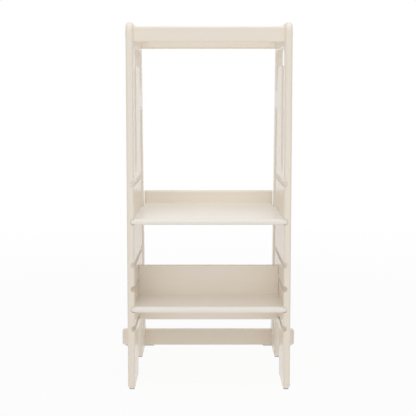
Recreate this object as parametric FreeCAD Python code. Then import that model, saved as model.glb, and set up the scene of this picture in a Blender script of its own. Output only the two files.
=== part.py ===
"""Toddler kitchen helper stool: two routed side boards joined by two safety rails and an anti-tip
bar, with a standing platform and a lower step that slide into grooves at three heights each.

Millimetres. +X is the right-hand side seen from the front, -Y is the front and +Z is up. The origin
is on the floor, at the middle of the width and of the depth. Every depth below is measured back
from the front plane, and y_at() turns it into Y.
"""
import FreeCAD
import Part
import math
import os

from FreeCAD import Placement, Rotation, Vector

# Tower
tower_width = 400.0
tower_height = 900.0
side_thickness = 18.0           # side boards
shelf_thickness = 15.0          # platform, step and the upright boards behind them

# Outline of a side board
rear_depth_at_floor = 440.0     # rear edge, carried on straight to the floor
rear_depth_at_top = 336.5
top_corner_radius = 22.0
front_foot_length = 130.0
rear_foot_length = 150.0
foot_radius = 8.0               # lower corners of the front foot
rear_foot_radius = 20.0         # lower front corner of the rear foot
arch_height = 122.0
arch_radius = 30.0
side_edge_round = 6.0           # routed round-over on every edge of the outline

# Openings through a side board
post_depth = 45.0
top_bar_height = 56.0
channel_height = 44.0           # gap between the tongue and the top bar
front_slot_width = 58.0
front_slot_length = 310.0       # down from the underside of the top bar
rear_slot_width = 70.0
rear_slot_bottom = 55.0
upper_slot_length = 110.0       # from the underside of the top bar down to the bridge
bridge_height = 37.0
opening_corner_radius = 18.0
opening_edge_ease = 2.0         # chamfer along the edges of the openings

# Grooves in the inner faces: centre heights. The shelves are in the middle ones.
platform_low_level = 313.0
platform_level = 418.5
platform_high_level = 511.0
step_low_level = 154.0
step_level = 201.5
step_high_level = 253.0
groove_depth = 9.5
groove_play = 0.3               # above and below a board in its groove
groove_end_play = 0.4           # between a board's edge and the bottom of its groove

# Platform and its back stop
nose_setback = 2.0              # front edge of both boards, behind the front plane
stop_setback = 5.0              # rear face of the back stop, ahead of the posts' rear edge
stop_rise = 35.0                # above the platform
stop_drop = 25.0                # below the platform
rear_part_play = 2.5            # each side of the platform's rear part, between the rear posts
shoulder_lead = 7.0             # start of the shoulder, ahead of the rear slot
shoulder_length = 14.0
shoulder_radius = 12.0
stop_edge_round = 5.0
bullnose_flat = 0.2             # flat left at the middle of a bullnosed edge

# Step and its riser
step_depth = 154.0
riser_rise = 77.0               # above the step
riser_drop = 52.0               # below the step
riser_play = 1.0                # each side of the riser, between the side boards
riser_edge_round = 4.0

# Safety rails at the top
rail_height = 38.0
rail_thickness = 18.0
rail_drop = 10.0                # top of the rails, below the top of the side boards
front_rail_setback = 13.0
rail_edge_round = 4.5

# Anti-tip bar across the rear feet
bar_length = 500.0
bar_height = 46.5
bar_thickness = 18.0
bar_let_in = 5.0                # front face of the bar, ahead of the rear edge at the floor
bar_notch_play = 0.5            # above the bar
bar_corner_radius = 7.0
bar_edge_round = 4.0
toe_setback = 2.5               # tip of the toe over the bar, ahead of the bar's rear face
toe_lip = 9.0                   # height of the toe's tip
toe_rise = 28.0                 # height over which the toe flares out of the rear edge
toe_radius = 30.0
toe_tip_radius = 9.0

# Glides under everything that stands on the floor
foot_glide_height = 4.0
foot_glide_width = 12.0
foot_glide_inset = 3.0          # from each end of the flat under a foot
bar_glide_height = 2.5
bar_glide_length = 82.0
bar_glide_inset = 9.0           # from each end of the bar

# Bolts, barrel nuts and cover caps
bolt_radius = 3.0
bolt_reach = 3.0                # end of a bolt, past the middle of its nut
bolt_head_radius = 5.0
bolt_head_height = 6.0
bolt_socket_width = 5.0
bolt_socket_depth = 3.5
bolt_hole_play = 0.3
counterbore_radius = 6.5
counterbore_depth = 9.0
bar_counterbore_depth = 7.0
nut_radius = 5.0
nut_length = 14.0
nut_play = 0.15
nut_bore_play = 0.05
nut_setback = 30.0              # centre of a barrel nut, behind the joint's face
bar_nut_end_gap = 0.6           # from the inner face of a side board to the end of its nut
cap_radius = 8.0
cap_height = 1.2
cap_plug_length = 2.5
cap_plug_play = 0.05

# Dowels
dowel_radius = 4.0
dowel_length = 28.0
dowel_bite = 10.0               # length in the side board, or in the upright board
dowel_offset = 11.0             # from the bolt of the same joint
bar_dowel_radius = 3.0
bar_dowel_drop = 17.0           # below the bolt of the same joint
bar_bolt_drop = 17.0            # below the top of the bar
dowel_play = 0.05
dowel_end_gap = 0.5
shelf_dowel_radius = 3.0
shelf_dowel_x = 60.0            # each side of the middle

# Wood screws that hold the upright boards
screw_radius = 2.0
screw_length = 45.0
screw_head_radius = 4.0
screw_head_height = 2.6
screw_socket_width = 2.5
screw_socket_depth = 1.6
screw_play = 0.05
screw_x = 120.0                 # each side of the middle

overcut = 20.0                  # how far a cutting shape runs beyond the wood
tolerance = 0.01                # for telling edges and faces apart

# Places worked out from the sizes above
outer_x = tower_width / 2.0
inner_x = outer_x - side_thickness
rear_lean = (rear_depth_at_floor - rear_depth_at_top) / tower_height
bar_front_depth = rear_depth_at_floor - bar_let_in
bar_rear_depth = bar_front_depth + bar_thickness
bar_top = bar_glide_height + bar_height
notch_top = bar_top + bar_notch_play
rear_foot_front_depth = rear_depth_at_floor - rear_foot_length
opening_top = tower_height - top_bar_height
bridge_top = opening_top - upper_slot_length
rail_centre_height = tower_height - rail_drop - rail_height / 2.0
front_rail_depth = front_rail_setback + rail_thickness / 2.0
groove_height = shelf_thickness + 2.0 * groove_play
shelf_half_width = inner_x + groove_depth - groove_end_play
bullnose_radius = (shelf_thickness - bullnose_flat) / 2.0
PLATFORM_LEVELS = (platform_low_level, platform_level, platform_high_level)
STEP_LEVELS = (step_low_level, step_level, step_high_level)
SIDES = (-1, 1)
UP = Vector(0, 0, 1)


def y_at(depth):
    """Y of a depth behind the front plane."""
    return depth - bar_rear_depth / 2.0


def rear_depth(height):
    """Depth of the leaning rear edge at a height."""
    return rear_depth_at_floor - rear_lean * height


rear_rail_depth = rear_depth(rail_centre_height) - post_depth / 2.0
step_rear_depth = nose_setback + step_depth
stop_front_depth = rear_depth(platform_level) - stop_setback - shelf_thickness


# Shapes that several pieces share

def rounded_wire(corners):
    """Closed wire through (point, radius) corners, each turned by an arc of its radius."""
    points = [point for point, radius in corners]
    edges = []
    joints = []
    for index, (point, radius) in enumerate(corners):
        if radius == 0:
            joints.append((point, None, point))
            continue
        back = (points[index - 1] - point).normalize()
        ahead = (points[(index + 1) % len(points)] - point).normalize()
        half_angle = back.getAngle(ahead) / 2.0
        reach = radius / math.tan(half_angle)
        inward = (back + ahead).normalize()
        middle = point + inward * (radius / math.sin(half_angle) - radius)
        joints.append((point + back * reach, middle, point + ahead * reach))
    for index, (start, middle, end) in enumerate(joints):
        if middle is not None:
            edges.append(Part.Arc(start, middle, end).toShape())
        following = joints[(index + 1) % len(joints)][0]
        if end.distanceToPoint(following) > tolerance:
            edges.append(Part.makeLine(end, following))
    return Part.Wire(edges)


def block(x_range, depth_range, z_range):
    """Box between two values of X, two depths and two heights."""
    size = (x_range[1] - x_range[0], depth_range[1] - depth_range[0], z_range[1] - z_range[0])
    return Part.makeBox(*size, Vector(x_range[0], y_at(depth_range[0]), z_range[0]))


def edges_in_plane(shape, axis, value):
    """Edges that lie wholly in one plane across an axis ("X", "Y" or "Z")."""
    def lies_in_plane(edge):
        box = edge.BoundBox
        low, high = getattr(box, axis + "Min"), getattr(box, axis + "Max")
        return abs(low - value) < tolerance and abs(high - value) < tolerance
    return [edge for edge in shape.Edges if lies_in_plane(edge)]


def round_long_edges(shape, radius):
    """Rounds every straight edge that runs along X over the whole length of a board."""
    length = shape.BoundBox.XLength
    long_edges = [edge for edge in shape.Edges if abs(edge.BoundBox.XLength - length) < tolerance]
    return shape.makeFillet(radius, long_edges)


def hexagonal_socket(face, direction, width, depth):
    """Hexagonal recess to be cut into a screw head, from its face along a direction."""
    corner_radius = width / math.sqrt(3.0)
    corners = [Vector(corner_radius * math.cos(math.radians(angle)),
                      corner_radius * math.sin(math.radians(angle)), 0)
               for angle in range(0, 361, 60)]
    prism = Part.Face(Part.makePolygon(corners)).extrude(UP * depth)
    prism.Placement = Placement(face, Rotation(UP, direction))
    return prism


def dowel(middle, direction, radius):
    """Wooden dowel centred on a point."""
    return Part.makeCylinder(radius, dowel_length, middle - direction * (dowel_length / 2.0), direction)


def dowel_hole(middle, direction, radius):
    """Hole for a dowel, blind at both ends."""
    length = dowel_length + 2.0 * dowel_end_gap
    return Part.makeCylinder(radius + dowel_play, length, middle - direction * (length / 2.0), direction)


def connector_bolt(seat, direction, nut_middle):
    """Socket-head bolt whose head rests on seat and whose shank runs into its nut."""
    top = seat - direction * bolt_head_height
    head = Part.makeCylinder(bolt_head_radius, bolt_head_height, top, direction)
    length = (nut_middle - seat).dot(direction) + bolt_reach
    shank = Part.makeCylinder(bolt_radius, length, seat, direction)
    socket = hexagonal_socket(top, direction, bolt_socket_width, bolt_socket_depth)
    return head.fuse(shank).cut(socket).removeSplitter()


def bolt_hole(seat, direction, nut_middle):
    """Plain hole for a bolt, from the seat of its head into the hole for its nut."""
    length = (nut_middle - seat).dot(direction)
    return Part.makeCylinder(bolt_radius + bolt_hole_play, length, seat, direction)


def counterbore(seat, direction):
    """Wide hole for a bolt's head, from its seat out past the face of the wood."""
    return Part.makeCylinder(counterbore_radius, overcut, seat, -direction)


def barrel_nut(middle, axis, seat, direction):
    """Barrel nut with its cross bore on the axis of its bolt."""
    barrel = Part.makeCylinder(nut_radius, nut_length, middle - axis * (nut_length / 2.0), axis)
    bore_length = (middle - seat).dot(direction) + 2.0 * nut_radius
    bore = Part.makeCylinder(bolt_radius + nut_bore_play, bore_length, seat, direction)
    return barrel.cut(bore)


def wood_screw(face, direction):
    """Countersunk wood screw whose head is flush with face."""
    head = Part.makeCone(screw_head_radius, screw_radius, screw_head_height, face, direction)
    shank = Part.makeCylinder(screw_radius, screw_length, face, direction)
    socket = hexagonal_socket(face, direction, screw_socket_width, screw_socket_depth)
    return head.fuse(shank).cut(socket).removeSplitter()


def screw_hole(face, direction):
    """Countersunk pilot hole for a wood screw."""
    sink = Part.makeCone(screw_head_radius + screw_play, screw_radius + screw_play,
                         screw_head_height, face, direction)
    pilot = Part.makeCylinder(screw_radius + screw_play, screw_length + dowel_end_gap, face, direction)
    return sink.fuse(pilot)


# Where the fixings go

def rail_joints(depth):
    """(side, point on the inner face, direction of the bolt) for both ends of a rail."""
    return [(side, Vector(side * inner_x, y_at(depth), rail_centre_height), Vector(-side, 0, 0))
            for side in SIDES]


def rail_bolt_seat(point, direction):
    """Where the head of a rail bolt rests, at the bottom of its counterbore."""
    return point - direction * (side_thickness - counterbore_depth)


def rail_nut_middle(point, direction):
    """Middle of a rail bolt's nut, which stands in the rail."""
    return point + direction * nut_setback


def rail_dowel_middles(point, direction):
    """Middles of the two dowels above and below a rail bolt."""
    into_rail = direction * (dowel_length / 2.0 - dowel_bite)
    return [point + into_rail + UP * offset for offset in (-dowel_offset, dowel_offset)]


def bar_bolt_seat(side):
    """Where the head of a bar bolt rests, in the rear face of the bar."""
    middle_x = side * (inner_x + side_thickness / 2.0)
    return Vector(middle_x, y_at(bar_rear_depth - bar_counterbore_depth), bar_top - bar_bolt_drop)


def bar_dowel_middle(side):
    """Middle of the dowel below a bar bolt."""
    depth = bar_front_depth + dowel_bite - dowel_length / 2.0
    seat = bar_bolt_seat(side)
    return Vector(seat.x, y_at(depth), seat.z - bar_dowel_drop)


def bar_nut_middle(side):
    """Middle of a bar bolt's nut, let into the inner face of a side board."""
    middle_x = side * (inner_x + bar_nut_end_gap + nut_length / 2.0)
    return Vector(middle_x, y_at(bar_front_depth - nut_setback), bar_top - bar_bolt_drop)


FORWARD = Vector(0, -1, 0)


def shelf_screw_faces(rear_face_depth, level):
    """Where the screws enter the rear face of the board behind a shelf."""
    return [Vector(side * screw_x, y_at(rear_face_depth), level) for side in SIDES]


def shelf_dowel_middles(rear_face_depth, level):
    """Middles of the two dowels between a shelf and the board behind it."""
    joint_depth = rear_face_depth - shelf_thickness
    depth = joint_depth + dowel_bite - dowel_length / 2.0
    return [Vector(side * shelf_dowel_x, y_at(depth), level) for side in SIDES]


def cut_shelf_fixings(shape, rear_face_depth, level):
    """Drills a shelf, or the board behind it, for their common screws and dowels."""
    screws = [screw_hole(face, FORWARD) for face in shelf_screw_faces(rear_face_depth, level)]
    dowels = [dowel_hole(middle, FORWARD, shelf_dowel_radius)
              for middle in shelf_dowel_middles(rear_face_depth, level)]
    return shape.cut(screws + dowels)


# Side boards

def rear_slot_corners(height):
    """Front and rear corners, square to the leaning slot, of an end of it at a height."""
    along = Vector(0, -rear_lean, 1).normalize()
    across = Vector(0, 1, rear_lean).normalize()
    half_width = rear_slot_width / 2.0 * along.z
    centre = Vector(0, y_at(rear_depth(height) - post_depth - rear_slot_width / 2.0), height)
    return [centre - across * half_width, centre + across * half_width]


def rear_slot_radius():
    """Radius of the round ends of the rear slot."""
    return rear_slot_width / 2.0 * math.cos(math.atan(rear_lean)) - tolerance


def side_outline():
    """Outer wire of a side board, in the plane X = 0, before the notch for the bar is cut."""
    toe_depth = bar_rear_depth - toe_setback
    toe_start = notch_top + toe_lip + toe_rise
    corners = [
        (0, foot_glide_height, foot_radius),
        (0, tower_height, top_corner_radius),
        (rear_depth(tower_height), tower_height, top_corner_radius),
        (rear_depth(toe_start), toe_start, toe_radius),
        (toe_depth, notch_top + toe_lip, toe_tip_radius),
        (toe_depth, foot_glide_height, foot_radius),
        (rear_foot_front_depth, foot_glide_height, rear_foot_radius),
        (rear_foot_front_depth, arch_height, arch_radius),
        (front_foot_length, arch_height, arch_radius),
        (front_foot_length, foot_glide_height, foot_radius),
    ]
    return rounded_wire([(Vector(0, y_at(depth), height), radius) for depth, height, radius in corners])


def upper_opening():
    """Wire of the opening round the tongue: front slot, channel and upper rear slot."""
    slot_radius = front_slot_width / 2.0 - tolerance
    tongue_front = post_depth + front_slot_width
    tongue_top = opening_top - channel_height
    tongue_rear = rear_depth(tongue_top) - post_depth - rear_slot_width
    front_slot_bottom = opening_top - front_slot_length
    slot_end = rear_slot_corners(bridge_top)
    corners = [
        (Vector(0, y_at(post_depth), front_slot_bottom), slot_radius),
        (Vector(0, y_at(tongue_front), front_slot_bottom), slot_radius),
        (Vector(0, y_at(tongue_front), tongue_top), opening_corner_radius),
        (Vector(0, y_at(tongue_rear), tongue_top), opening_corner_radius),
        (slot_end[0], rear_slot_radius()),
        (slot_end[1], rear_slot_radius()),
        (Vector(0, y_at(rear_depth(opening_top) - post_depth), opening_top), opening_corner_radius),
        (Vector(0, y_at(post_depth), opening_top), opening_corner_radius),
    ]
    return rounded_wire(corners)


def lower_rear_slot():
    """Wire of the rear slot below the bridge."""
    bottom = rear_slot_corners(rear_slot_bottom)
    top = rear_slot_corners(bridge_top - bridge_height)
    return rounded_wire([(point, rear_slot_radius()) for point in bottom + top[::-1]])


def groove(side, level):
    """Groove with a half-round bottom, from beyond the front edge back into the rear slot."""
    round_radius = groove_height / 2.0
    flat_depth = groove_depth - round_radius
    front = -overcut
    rear = rear_depth(level) - post_depth - rear_slot_width / 2.0
    y_front = y_at(front)
    face_x = inner_x - overcut
    corner_x = inner_x + flat_depth
    low = level - round_radius
    high = level + round_radius
    profile = Part.Wire([
        Part.makeLine(Vector(side * face_x, y_front, high), Vector(side * face_x, y_front, low)),
        Part.makeLine(Vector(side * face_x, y_front, low), Vector(side * corner_x, y_front, low)),
        Part.Arc(Vector(side * corner_x, y_front, low),
                 Vector(side * (inner_x + groove_depth), y_front, level),
                 Vector(side * corner_x, y_front, high)).toShape(),
        Part.makeLine(Vector(side * corner_x, y_front, high), Vector(side * face_x, y_front, high)),
    ])
    return Part.Face(profile).extrude(Vector(0, rear - front, 0))


def side_face(board, x):
    """The largest flat face of a side board in the plane across X."""
    in_plane = [face for face in board.Faces
                if face.BoundBox.XLength < tolerance and abs(face.BoundBox.XMin - x) < tolerance]
    return max(in_plane, key=lambda face: face.Area)


def shaped_board(low_x):
    """Board with its openings, its outline rounded over and the openings' edges eased."""
    plate = Part.Face([side_outline(), upper_opening(), lower_rear_slot()])
    plate.translate(Vector(low_x, 0, 0))
    board = plate.extrude(Vector(side_thickness, 0, 0))
    both_x = (low_x, low_x + side_thickness)
    outline_edges = [edge for x in both_x for edge in side_face(board, x).OuterWire.Edges]
    board = board.makeFillet(side_edge_round, outline_edges)
    opening_edges = []
    for x in both_x:
        face = side_face(board, x)
        openings = [wire for wire in face.Wires if not wire.isSame(face.OuterWire)]
        opening_edges += [edge for wire in openings for edge in wire.Edges]
    return board.makeChamfer(opening_edge_ease, opening_edges)


def side_panel(side):
    """Side board: shaped board, then its grooves, the bar's notch and the bores."""
    board = shaped_board(min(side * inner_x, side * outer_x))
    all_x = (-outer_x - overcut, outer_x + overcut)
    cuts = [block(all_x, (bar_front_depth, bar_rear_depth + overcut), (-overcut, notch_top))]
    cuts += [groove(side, level) for level in PLATFORM_LEVELS + STEP_LEVELS]
    for depth in (front_rail_depth, rear_rail_depth):
        for rail_side, point, direction in rail_joints(depth):
            if rail_side == side:
                seat = rail_bolt_seat(point, direction)
                cuts.append(bolt_hole(seat, direction, rail_nut_middle(point, direction)))
                cuts.append(counterbore(seat, direction))
                cuts += [dowel_hole(middle, direction, dowel_radius)
                         for middle in rail_dowel_middles(point, direction)]
    cuts.append(bolt_hole(bar_bolt_seat(side), FORWARD, bar_nut_middle(side)))
    cuts.append(dowel_hole(bar_dowel_middle(side), FORWARD, bar_dowel_radius))
    nut_depth = bar_nut_end_gap + nut_length + nut_play
    nut_mouth = Vector(side * (inner_x - overcut), bar_nut_middle(side).y, bar_nut_middle(side).z)
    cuts.append(Part.makeCylinder(nut_radius + nut_play, nut_depth + overcut, nut_mouth,
                                  Vector(side, 0, 0)))
    return board.cut(cuts)


# Rails

def top_rail(depth):
    """Safety rail between the side boards, drilled at both ends."""
    half = rail_thickness / 2.0
    heights = (rail_centre_height - rail_height / 2.0, rail_centre_height + rail_height / 2.0)
    rail = round_long_edges(block((-inner_x, inner_x), (depth - half, depth + half), heights),
                            rail_edge_round)
    cuts = []
    for side, point, direction in rail_joints(depth):
        nut_middle = rail_nut_middle(point, direction)
        cuts.append(bolt_hole(rail_bolt_seat(point, direction), direction, nut_middle))
        cuts += [dowel_hole(middle, direction, dowel_radius)
                 for middle in rail_dowel_middles(point, direction)]
        nut_foot = nut_middle - UP * (rail_height / 2.0 + overcut)
        nut_reach = rail_height / 2.0 + overcut + nut_length / 2.0 + nut_play
        cuts.append(Part.makeCylinder(nut_radius + nut_play, nut_reach, nut_foot, UP))
    return rail.cut(cuts)


def rail_bolts(depth):
    """Bolts through the side boards into both ends of a rail."""
    return [connector_bolt(rail_bolt_seat(point, direction), direction, rail_nut_middle(point, direction))
            for side, point, direction in rail_joints(depth)]


def rail_nuts(depth):
    """Barrel nuts standing in the rail, put in from its underside."""
    return [barrel_nut(rail_nut_middle(point, direction), UP, rail_bolt_seat(point, direction), direction)
            for side, point, direction in rail_joints(depth)]


def rail_dowels(depth):
    """Dowels at both ends of a rail."""
    return [dowel(middle, direction, dowel_radius)
            for side, point, direction in rail_joints(depth)
            for middle in rail_dowel_middles(point, direction)]


def bolt_cap(side, depth):
    """Cover cap with a plug that presses into the counterbore of a rail bolt."""
    outward = Vector(side, 0, 0)
    face = Vector(side * outer_x, y_at(depth), rail_centre_height)
    disc = Part.makeCylinder(cap_radius, cap_height, face, outward)
    plug = Part.makeCylinder(counterbore_radius - cap_plug_play, cap_plug_length,
                             face - outward * cap_plug_length, outward)
    return disc.fuse(plug).removeSplitter()


# Anti-tip bar

def stabiliser_bar():
    """Bar behind the rear feet, with rounded corners and edges."""
    half = bar_length / 2.0
    corners = [(-half, bar_glide_height), (half, bar_glide_height), (half, bar_top), (-half, bar_top)]
    front_y = y_at(bar_front_depth)
    outline = rounded_wire([(Vector(x, front_y, height), bar_corner_radius) for x, height in corners])
    bar = Part.Face(outline).extrude(Vector(0, bar_thickness, 0))
    rims = edges_in_plane(bar, "Y", y_at(bar_rear_depth)) + edges_in_plane(bar, "Y", front_y)
    bar = bar.makeFillet(bar_edge_round, rims)
    cuts = []
    for side in SIDES:
        seat = bar_bolt_seat(side)
        cuts.append(bolt_hole(seat, FORWARD, bar_nut_middle(side)))
        cuts.append(counterbore(seat, FORWARD))
        cuts.append(dowel_hole(bar_dowel_middle(side), FORWARD, bar_dowel_radius))
    return bar.cut(cuts)


def bar_nut(side):
    """Barrel nut lying across a side board."""
    return barrel_nut(bar_nut_middle(side), Vector(1, 0, 0), bar_bolt_seat(side), FORWARD)


# Shelves

def shelf(outline_corners, level, joint_depth):
    """Board with a bullnosed front and sides and a square rear edge against its upright board."""
    low = level - shelf_thickness / 2.0
    outline = rounded_wire([(Vector(x, y_at(depth), low), radius) for x, depth, radius in outline_corners])
    board = Part.Face(outline).extrude(UP * shelf_thickness)
    rims = edges_in_plane(board, "Z", low) + edges_in_plane(board, "Z", low + shelf_thickness)
    nosed = [edge for edge in rims if edge.CenterOfMass.y < y_at(joint_depth) - tolerance]
    return board.makeFillet(bullnose_radius, nosed)


def platform_board():
    """Platform: full width in the grooves, then narrower between the rear posts."""
    rear_half_width = inner_x - rear_part_play
    rear_slot_front = rear_depth(platform_level) - post_depth - rear_slot_width
    shoulder_start = rear_slot_front - shoulder_lead
    shoulder_end = shoulder_start + shoulder_length
    half_outline = [
        (shelf_half_width, nose_setback, 0),
        (shelf_half_width, shoulder_start, shoulder_radius),
        (rear_half_width, shoulder_end, shoulder_radius),
        (rear_half_width, stop_front_depth, 0),
    ]
    mirrored = [(-x, depth, radius) for x, depth, radius in reversed(half_outline)]
    board = shelf(half_outline + mirrored, platform_level, stop_front_depth)
    return cut_shelf_fixings(board, stop_front_depth + shelf_thickness, platform_level)


def platform_back_stop():
    """Upright strip behind the platform that keeps feet from slipping off."""
    half_width = inner_x - rear_part_play
    top = platform_level + shelf_thickness / 2.0 + stop_rise
    bottom = platform_level - shelf_thickness / 2.0 - stop_drop
    depths = (stop_front_depth, stop_front_depth + shelf_thickness)
    strip = round_long_edges(block((-half_width, half_width), depths, (bottom, top)), stop_edge_round)
    return cut_shelf_fixings(strip, depths[1], platform_level)


def step_board():
    """Lower step, full width in the grooves as far as its riser."""
    outline = [
        (shelf_half_width, nose_setback, 0),
        (shelf_half_width, step_rear_depth, 0),
        (-shelf_half_width, step_rear_depth, 0),
        (-shelf_half_width, nose_setback, 0),
    ]
    board = shelf(outline, step_level, step_rear_depth)
    return cut_shelf_fixings(board, step_rear_depth + shelf_thickness, step_level)


def step_riser():
    """Upright board behind the step, between the side boards."""
    half_width = inner_x - riser_play
    top = step_level + shelf_thickness / 2.0 + riser_rise
    bottom = step_level - shelf_thickness / 2.0 - riser_drop
    depths = (step_rear_depth, step_rear_depth + shelf_thickness)
    board = round_long_edges(block((-half_width, half_width), depths, (bottom, top)), riser_edge_round)
    return cut_shelf_fixings(board, depths[1], step_level)


def shelf_screws(rear_face_depth, level):
    """Screws through an upright board into its shelf."""
    return [wood_screw(face, FORWARD) for face in shelf_screw_faces(rear_face_depth, level)]


def shelf_dowels(rear_face_depth, level):
    """Dowels between an upright board and its shelf."""
    return [dowel(middle, FORWARD, shelf_dowel_radius)
            for middle in shelf_dowel_middles(rear_face_depth, level)]


# Glides

def foot_glides(front_depth, back_depth):
    """A glide under the flat of the same foot of both side boards, between two depths."""
    strips = []
    depths = (front_depth + foot_glide_inset, back_depth - foot_glide_inset)
    for side in SIDES:
        middle = side * (inner_x + side_thickness / 2.0)
        edges = (middle - foot_glide_width / 2.0, middle + foot_glide_width / 2.0)
        strips.append(block(edges, depths, (0, foot_glide_height)))
    return strips


def bar_glides():
    """A glide under each end of the bar."""
    strips = []
    depths = (bar_front_depth + bar_edge_round, bar_rear_depth - bar_edge_round)
    for side in SIDES:
        outer_end = bar_length / 2.0 - bar_glide_inset
        ends = sorted((side * outer_end, side * (outer_end - bar_glide_length)))
        strips.append(block(ends, depths, (0, bar_glide_height)))
    return strips


def build_nodes():
    """Every node's name and its solids."""
    platform_back = stop_front_depth + shelf_thickness
    step_back = step_rear_depth + shelf_thickness
    return {
        "side_panel_left": [side_panel(-1)],
        "side_panel_right": [side_panel(1)],
        "front_top_rail": [top_rail(front_rail_depth)],
        "front_rail_bolts": rail_bolts(front_rail_depth),
        "front_rail_barrel_nuts": rail_nuts(front_rail_depth),
        "front_rail_dowels": rail_dowels(front_rail_depth),
        "rear_top_rail": [top_rail(rear_rail_depth)],
        "rear_rail_bolts": rail_bolts(rear_rail_depth),
        "rear_rail_barrel_nuts": rail_nuts(rear_rail_depth),
        "rear_rail_dowels": rail_dowels(rear_rail_depth),
        "bolt_caps_left": [bolt_cap(-1, depth) for depth in (front_rail_depth, rear_rail_depth)],
        "bolt_caps_right": [bolt_cap(1, depth) for depth in (front_rail_depth, rear_rail_depth)],
        "stabiliser_bar": [stabiliser_bar()],
        "stabiliser_bolts": [connector_bolt(bar_bolt_seat(side), FORWARD, bar_nut_middle(side))
                             for side in SIDES],
        "stabiliser_barrel_nuts": [bar_nut(side) for side in SIDES],
        "stabiliser_dowels": [dowel(bar_dowel_middle(side), FORWARD, bar_dowel_radius)
                              for side in SIDES],
        "platform_board": [platform_board()],
        "platform_back_stop": [platform_back_stop()],
        "platform_screws": shelf_screws(platform_back, platform_level),
        "platform_dowels": shelf_dowels(platform_back, platform_level),
        "step_board": [step_board()],
        "step_riser": [step_riser()],
        "step_screws": shelf_screws(step_back, step_level),
        "step_dowels": shelf_dowels(step_back, step_level),
        "front_foot_glides": foot_glides(foot_radius, front_foot_length - foot_radius),
        "rear_foot_glides": foot_glides(rear_foot_front_depth + rear_foot_radius, bar_front_depth),
        "stabiliser_glides": bar_glides(),
    }


os.makedirs("parts", exist_ok=True)
for name, solids in build_nodes().items():
    shape = solids[0] if len(solids) == 1 else Part.makeCompound(solids)
    shape.exportStep("parts/" + name + ".step")
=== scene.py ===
"""Looks for the toddler kitchen helper stool: materials, camera, lights and floor. Metres."""
import math

import bpy
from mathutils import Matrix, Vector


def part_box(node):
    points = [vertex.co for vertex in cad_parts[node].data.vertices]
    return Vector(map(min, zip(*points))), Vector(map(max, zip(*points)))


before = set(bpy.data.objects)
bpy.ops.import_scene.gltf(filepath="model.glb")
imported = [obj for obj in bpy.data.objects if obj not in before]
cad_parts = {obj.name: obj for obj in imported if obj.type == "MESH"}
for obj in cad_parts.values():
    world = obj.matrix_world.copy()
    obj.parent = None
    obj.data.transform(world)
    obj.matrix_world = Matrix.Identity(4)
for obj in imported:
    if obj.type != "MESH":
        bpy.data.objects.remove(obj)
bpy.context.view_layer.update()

# Camera: in front of the middle, at about the height of the upper openings, looking slightly down
FRONT_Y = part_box("side_panel_left")[0].y
CAMERA_X = -0.0109
CAMERA_HEIGHT = 0.7183
CAMERA_DISTANCE = 2.3427        # from the front plane
CAMERA_PITCH = 5.468            # below the horizon, degrees
CAMERA_LENS = 84.124
CAMERA_SENSOR = 36.0
CAMERA_SHIFT = (0.0083, -0.04)

# Surroundings
WHITE = (1.0, 1.0, 1.0, 1.0)
WORLD_STRENGTH = 0.40
FLOOR_SIZE = 12.0
FLOOR_GREY = (0.90, 0.90, 0.90, 1.0)
FLOOR_ROUGHNESS = 0.9
FLOOR_GLOW = 0.93               # share of plain white that the camera sees in the floor
FLOOR_NEAR = 0.7                # from here outwards the floor grows whiter
FLOOR_FAR = 3.0                 # beyond here it is as white as the backdrop
FLOOR_FILL = 0.35               # share of white that lights the object from below

# Lamps: width and height, and the point that each is aimed at from its place
LAMPS = {
    "front": {
        "size": (3.0, 2.0), "watts": 20.0, "place": (-0.5, -3.2, 2.4), "target": (0.0, 0.0, 0.4)},
    "low_front": {
        "size": (3.0, 0.8), "watts": 4.5, "place": (0.0, -2.7, 0.5), "target": (0.0, 0.0, 0.3)},
    "top": {
        "size": (2.5, 2.5), "watts": 24.0, "place": (0.2, -0.4, 3.0), "target": (0.0, 0.0, 0.3)},
}

# Colours, linear
CREAM = (0.945, 0.860, 0.748)
CREAM_DARK = (0.925, 0.834, 0.716)
# Paler copy of the cream for the riser and back stop: painted light that brightens these faces in
# the shade under the platform
RISER_PAINTED_LIGHT_CREAM = (0.962, 0.888, 0.788)
RISER_PAINTED_LIGHT_CREAM_DARK = (0.944, 0.864, 0.760)
# Palest copy of the cream for the platform and step boards: painted light that brightens their
# tops
SHELF_PAINTED_LIGHT_CREAM = (0.980, 0.932, 0.860)
SHELF_PAINTED_LIGHT_CREAM_DARK = (0.962, 0.912, 0.836)
CAP_CREAM = (0.930, 0.852, 0.750)
STEEL = (0.62, 0.62, 0.63)
ZINC = (0.60, 0.60, 0.62)
BEECH = (0.60, 0.42, 0.25)
BEECH_DARK = (0.45, 0.29, 0.16)
RUBBER = (0.64, 0.64, 0.62)

# Textures: changes per metre
PORES = 260.0                   # across the grain of the lacquered wood
BANDS = 26.0                    # the same for its broad bands
GRAIN_STRETCH = 0.06            # how much slower both change along the grain
METAL_MARKS = 700.0
BEECH_RAYS = (900.0, 900.0, 120.0)      # along X, Y and Z
CAP_GRAIN = 1200.0
RUBBER_GRAIN = 500.0

# Finishes: a range is the roughness from the glossiest spot to the dullest
LACQUER_ROUGHNESS = (0.36, 0.50)
LACQUER_COAT = 0.60
LACQUER_COAT_ROUGHNESS = 0.22
LACQUER_SPECULAR = 0.45
STEEL_ROUGHNESS = (0.28, 0.42)
ZINC_ROUGHNESS = (0.36, 0.50)
BEECH_ROUGHNESS = (0.55, 0.75)
CAP_ROUGHNESS = (0.48, 0.62)
RUBBER_ROUGHNESS = (0.70, 0.90)
METAL_SHADE = 0.82              # brightness in the turning marks
CAP_SHINE = 1.03                # brightness of the palest spots
RUBBER_SHADE = 0.8              # brightness of the darkest spots


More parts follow.
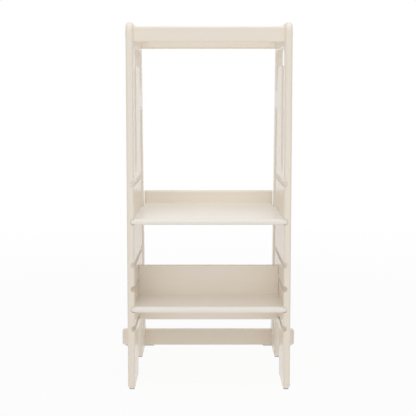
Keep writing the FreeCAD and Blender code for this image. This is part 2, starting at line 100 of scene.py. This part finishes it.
class Nodes:
    """Short ways to add and link the shader nodes of a new material."""

    def __init__(self, name):
        self.material = bpy.data.materials.new(name)
        self.material.use_nodes = True
        self.tree = self.material.node_tree
        self.shader = self.tree.nodes["Principled BSDF"]

    def add(self, kind, **settings):
        node = self.tree.nodes.new(kind)
        for key, value in settings.items():
            setattr(node, key, value)
        return node

    def link(self, start, end):
        self.tree.links.new(start, end)

    def set(self, **values):
        """Gives inputs of the shader fixed values."""
        for name, value in values.items():
            self.shader.inputs[name.replace("_", " ")].default_value = value

    def feed(self, **outputs):
        """Links outputs of other nodes to inputs of the shader."""
        for name, output in outputs.items():
            self.link(output, self.shader.inputs[name.replace("_", " ")])

    def noise(self, scale, detail, roughness=0.5):
        """Noise in the object's own space; scale is its changes per metre along X, Y and Z."""
        coordinates = self.add("ShaderNodeTexCoord")
        mapping = self.add("ShaderNodeMapping")
        mapping.inputs["Scale"].default_value = scale
        noise = self.add("ShaderNodeTexNoise")
        noise.inputs["Scale"].default_value = 1.0
        noise.inputs["Detail"].default_value = detail
        noise.inputs["Roughness"].default_value = roughness
        self.link(coordinates.outputs["Object"], mapping.inputs["Vector"])
        self.link(mapping.outputs["Vector"], noise.inputs["Vector"])
        return noise.outputs["Fac"]

    def ramp(self, factor, *stops):
        """Colour that runs between two stops, each a place on the factor and a colour."""
        node = self.add("ShaderNodeValToRGB")
        for element, (place, colour) in zip(node.color_ramp.elements, stops):
            element.position = place
            element.color = (*colour, 1.0)
        self.link(factor, node.inputs["Fac"])
        return node.outputs["Color"]

    def span(self, factor, low, high, start=0.0, end=1.0):
        """Number that runs from low to high while the factor runs from start to end."""
        node = self.add("ShaderNodeMapRange")
        node.inputs["From Min"].default_value = start
        node.inputs["From Max"].default_value = end
        node.inputs["To Min"].default_value = low
        node.inputs["To Max"].default_value = high
        self.link(factor, node.inputs["Value"])
        return node.outputs["Result"]

    def bump(self, height, strength, depth, below=None):
        """Relief, on top of another where one is given."""
        node = self.add("ShaderNodeBump")
        node.inputs["Strength"].default_value = strength
        node.inputs["Distance"].default_value = depth
        self.link(height, node.inputs["Height"])
        if below is not None:
            self.link(below, node.inputs["Normal"])
        return node.outputs["Normal"]


def even(scale):
    """Scale of a noise that looks the same along all three axes."""
    return (scale, scale, scale)


def along(axis, across):
    """Scale of a noise that is stretched along one axis."""
    return tuple(across * GRAIN_STRETCH if name == axis else across for name in "XYZ")


def shade(colour, factor):
    """Colour made darker or paler by a factor."""
    return tuple(min(1.0, channel * factor) for channel in colour)


def lacquered_wood(name, grain_axis, pale=CREAM, dark=CREAM_DARK):
    """Cream lacquer over wood whose pores just show."""
    m = Nodes(name)
    bands = m.noise(along(grain_axis, BANDS), detail=4.0, roughness=0.55)
    pores = m.noise(along(grain_axis, PORES), detail=3.0, roughness=0.6)
    soft_relief = m.bump(bands, strength=0.10, depth=0.0006)
    m.feed(Base_Color=m.ramp(bands, (0.30, dark), (0.62, pale)),
           Roughness=m.span(bands, *LACQUER_ROUGHNESS),
           Normal=m.bump(pores, strength=0.10, depth=0.0002, below=soft_relief))
    m.set(Coat_Weight=LACQUER_COAT, Coat_Roughness=LACQUER_COAT_ROUGHNESS,
          Specular_IOR_Level=LACQUER_SPECULAR)
    return m.material


def plated_metal(name, colour, roughness):
    """Zinc-plated steel with fine turning marks."""
    m = Nodes(name)
    marks = m.noise(even(METAL_MARKS), detail=2.0)
    m.feed(Base_Color=m.ramp(marks, (0.35, shade(colour, METAL_SHADE)), (0.65, colour)),
           Roughness=m.span(marks, *roughness),
           Normal=m.bump(marks, strength=0.08, depth=0.0001))
    m.set(Metallic=1.0)
    return m.material


def plain_beech(name):
    """Bare beech, for the dowels."""
    m = Nodes(name)
    rays = m.noise(BEECH_RAYS, detail=3.0)
    m.feed(Base_Color=m.ramp(rays, (0.35, BEECH_DARK), (0.60, BEECH)),
           Roughness=m.span(rays, *BEECH_ROUGHNESS),
           Normal=m.bump(rays, strength=0.15, depth=0.0002))
    return m.material


def moulded_plastic(name):
    """Matt cream plastic of the cover caps."""
    m = Nodes(name)
    texture = m.noise(even(CAP_GRAIN), detail=2.0)
    m.feed(Base_Color=m.ramp(texture, (0.30, CAP_CREAM), (0.70, shade(CAP_CREAM, CAP_SHINE))),
           Roughness=m.span(texture, *CAP_ROUGHNESS),
           Normal=m.bump(texture, strength=0.10, depth=0.0001))
    return m.material


def soft_rubber(name):
    """Matt grey rubber of the glides."""
    m = Nodes(name)
    texture = m.noise(even(RUBBER_GRAIN), detail=4.0, roughness=0.7)
    m.feed(Base_Color=m.ramp(texture, (0.30, shade(RUBBER, RUBBER_SHADE)), (0.70, RUBBER)),
           Roughness=m.span(texture, *RUBBER_ROUGHNESS),
           Normal=m.bump(texture, strength=0.25, depth=0.0003))
    return m.material


def dress(material, *names):
    """Gives CAD nodes a material, in every slot they have."""
    for name in names:
        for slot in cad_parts[name].material_slots:
            slot.material = material


def dress_wood():
    dress(lacquered_wood("lacquer_upright", "Z"), "side_panel_left", "side_panel_right")
    dress(lacquered_wood("lacquer_across", "X"),
          "front_top_rail", "rear_top_rail", "stabiliser_bar")
    # paler cream: painted light on the shaded riser and back stop
    dress(lacquered_wood("lacquer_riser_painted_light", "X", RISER_PAINTED_LIGHT_CREAM, RISER_PAINTED_LIGHT_CREAM_DARK),
          "platform_back_stop", "step_riser")
    # palest cream: painted light on the tops of the platform and step
    dress(lacquered_wood("lacquer_shelf_painted_light", "X", SHELF_PAINTED_LIGHT_CREAM, SHELF_PAINTED_LIGHT_CREAM_DARK),
          "platform_board", "step_board")


def dress_hardware():
    dress(plated_metal("plated_steel", STEEL, STEEL_ROUGHNESS),
          "front_rail_bolts", "rear_rail_bolts", "stabiliser_bolts",
          "platform_screws", "step_screws")
    dress(plated_metal("plated_nuts", ZINC, ZINC_ROUGHNESS),
          "front_rail_barrel_nuts", "rear_rail_barrel_nuts", "stabiliser_barrel_nuts")
    dress(plain_beech("beech"),
          "front_rail_dowels", "rear_rail_dowels", "stabiliser_dowels",
          "platform_dowels", "step_dowels")
    dress(moulded_plastic("cap_plastic"), "bolt_caps_left", "bolt_caps_right")
    dress(soft_rubber("glide_rubber"),
          "front_foot_glides", "rear_foot_glides", "stabiliser_glides")


def build_camera():
    data = bpy.data.cameras.new("camera")
    data.lens = CAMERA_LENS
    data.sensor_width = CAMERA_SENSOR
    data.shift_x, data.shift_y = CAMERA_SHIFT
    camera = bpy.data.objects.new("camera", data)
    bpy.context.scene.collection.objects.link(camera)
    camera.location = (CAMERA_X, FRONT_Y - CAMERA_DISTANCE, CAMERA_HEIGHT)
    camera.rotation_euler = (math.radians(90.0 - CAMERA_PITCH), 0.0, 0.0)
    bpy.context.scene.camera = camera


def seen_directly(tree):
    """1 for camera, glossy and transmission rays, 0 for the rest."""
    path = tree.nodes.new("ShaderNodeLightPath")
    total = path.outputs["Is Camera Ray"]
    for name in ("Is Glossy Ray", "Is Transmission Ray"):
        most = tree.nodes.new("ShaderNodeMath")
        most.operation = "MAXIMUM"
        tree.links.new(total, most.inputs[0])
        tree.links.new(path.outputs[name], most.inputs[1])
        total = most.outputs[0]
    return total


def build_world():
    """Plain white studio: soft light on the object, white where it is seen directly."""
    world = bpy.data.worlds.new("studio")
    bpy.context.scene.world = world
    world.use_nodes = True
    tree = world.node_tree
    tree.nodes.clear()
    soft = tree.nodes.new("ShaderNodeBackground")
    soft.inputs["Strength"].default_value = WORLD_STRENGTH
    white = tree.nodes.new("ShaderNodeBackground")
    mix = tree.nodes.new("ShaderNodeMixShader")
    output = tree.nodes.new("ShaderNodeOutputWorld")
    for background in (soft, white):
        background.inputs["Color"].default_value = WHITE
    tree.links.new(seen_directly(tree), mix.inputs[0])
    tree.links.new(soft.outputs[0], mix.inputs[1])
    tree.links.new(white.outputs[0], mix.inputs[2])
    tree.links.new(mix.outputs[0], output.inputs["Surface"])


def floor_glow(m):
    """Share of plain white in the floor: more where it is seen directly, and most far away."""
    geometry = m.add("ShaderNodeNewGeometry")
    reach = m.add("ShaderNodeVectorMath", operation="LENGTH")
    m.link(geometry.outputs["Position"], reach.inputs[0])
    whiter = m.span(reach.outputs["Value"], FLOOR_GLOW - FLOOR_FILL, 1.0 - FLOOR_FILL,
                    start=FLOOR_NEAR, end=FLOOR_FAR)
    share = m.add("ShaderNodeMath", operation="MULTIPLY_ADD")
    m.link(seen_directly(m.tree), share.inputs[0])
    m.link(whiter, share.inputs[1])
    share.inputs[2].default_value = FLOOR_FILL
    return share.outputs[0]


def build_floor():
    """Pale floor that looks white and keeps a soft shadow."""
    mesh = bpy.data.meshes.new("floor")
    half = FLOOR_SIZE / 2.0
    corners = [(-half, -half, 0.0), (half, -half, 0.0), (half, half, 0.0), (-half, half, 0.0)]
    mesh.from_pydata(corners, [], [(0, 1, 2, 3)])
    floor = bpy.data.objects.new("floor", mesh)
    bpy.context.scene.collection.objects.link(floor)
    m = Nodes("floor")
    m.set(Base_Color=FLOOR_GREY, Roughness=FLOOR_ROUGHNESS)
    glow = m.add("ShaderNodeEmission")
    mix = m.add("ShaderNodeMixShader")
    m.link(floor_glow(m), mix.inputs[0])
    m.link(m.shader.outputs[0], mix.inputs[1])
    m.link(glow.outputs[0], mix.inputs[2])
    m.link(mix.outputs[0], m.tree.nodes["Material Output"].inputs["Surface"])
    mesh.materials.append(m.material)


def build_lamp(name, size, watts, place, target):
    """Soft rectangular lamp that is aimed at a point."""
    data = bpy.data.lights.new(name, "AREA")
    data.shape = "RECTANGLE"
    data.size, data.size_y = size
    data.energy = watts
    lamp = bpy.data.objects.new(name, data)
    bpy.context.scene.collection.objects.link(lamp)
    lamp.location = place
    aim = Vector(target) - Vector(place)
    lamp.rotation_euler = aim.to_track_quat("-Z", "Y").to_euler()


dress_wood()
dress_hardware()
build_camera()
build_world()
build_floor()
for lamp_name, lamp_values in LAMPS.items():
    build_lamp(lamp_name, **lamp_values)

bpy.context.scene.view_settings.view_transform = "Standard"
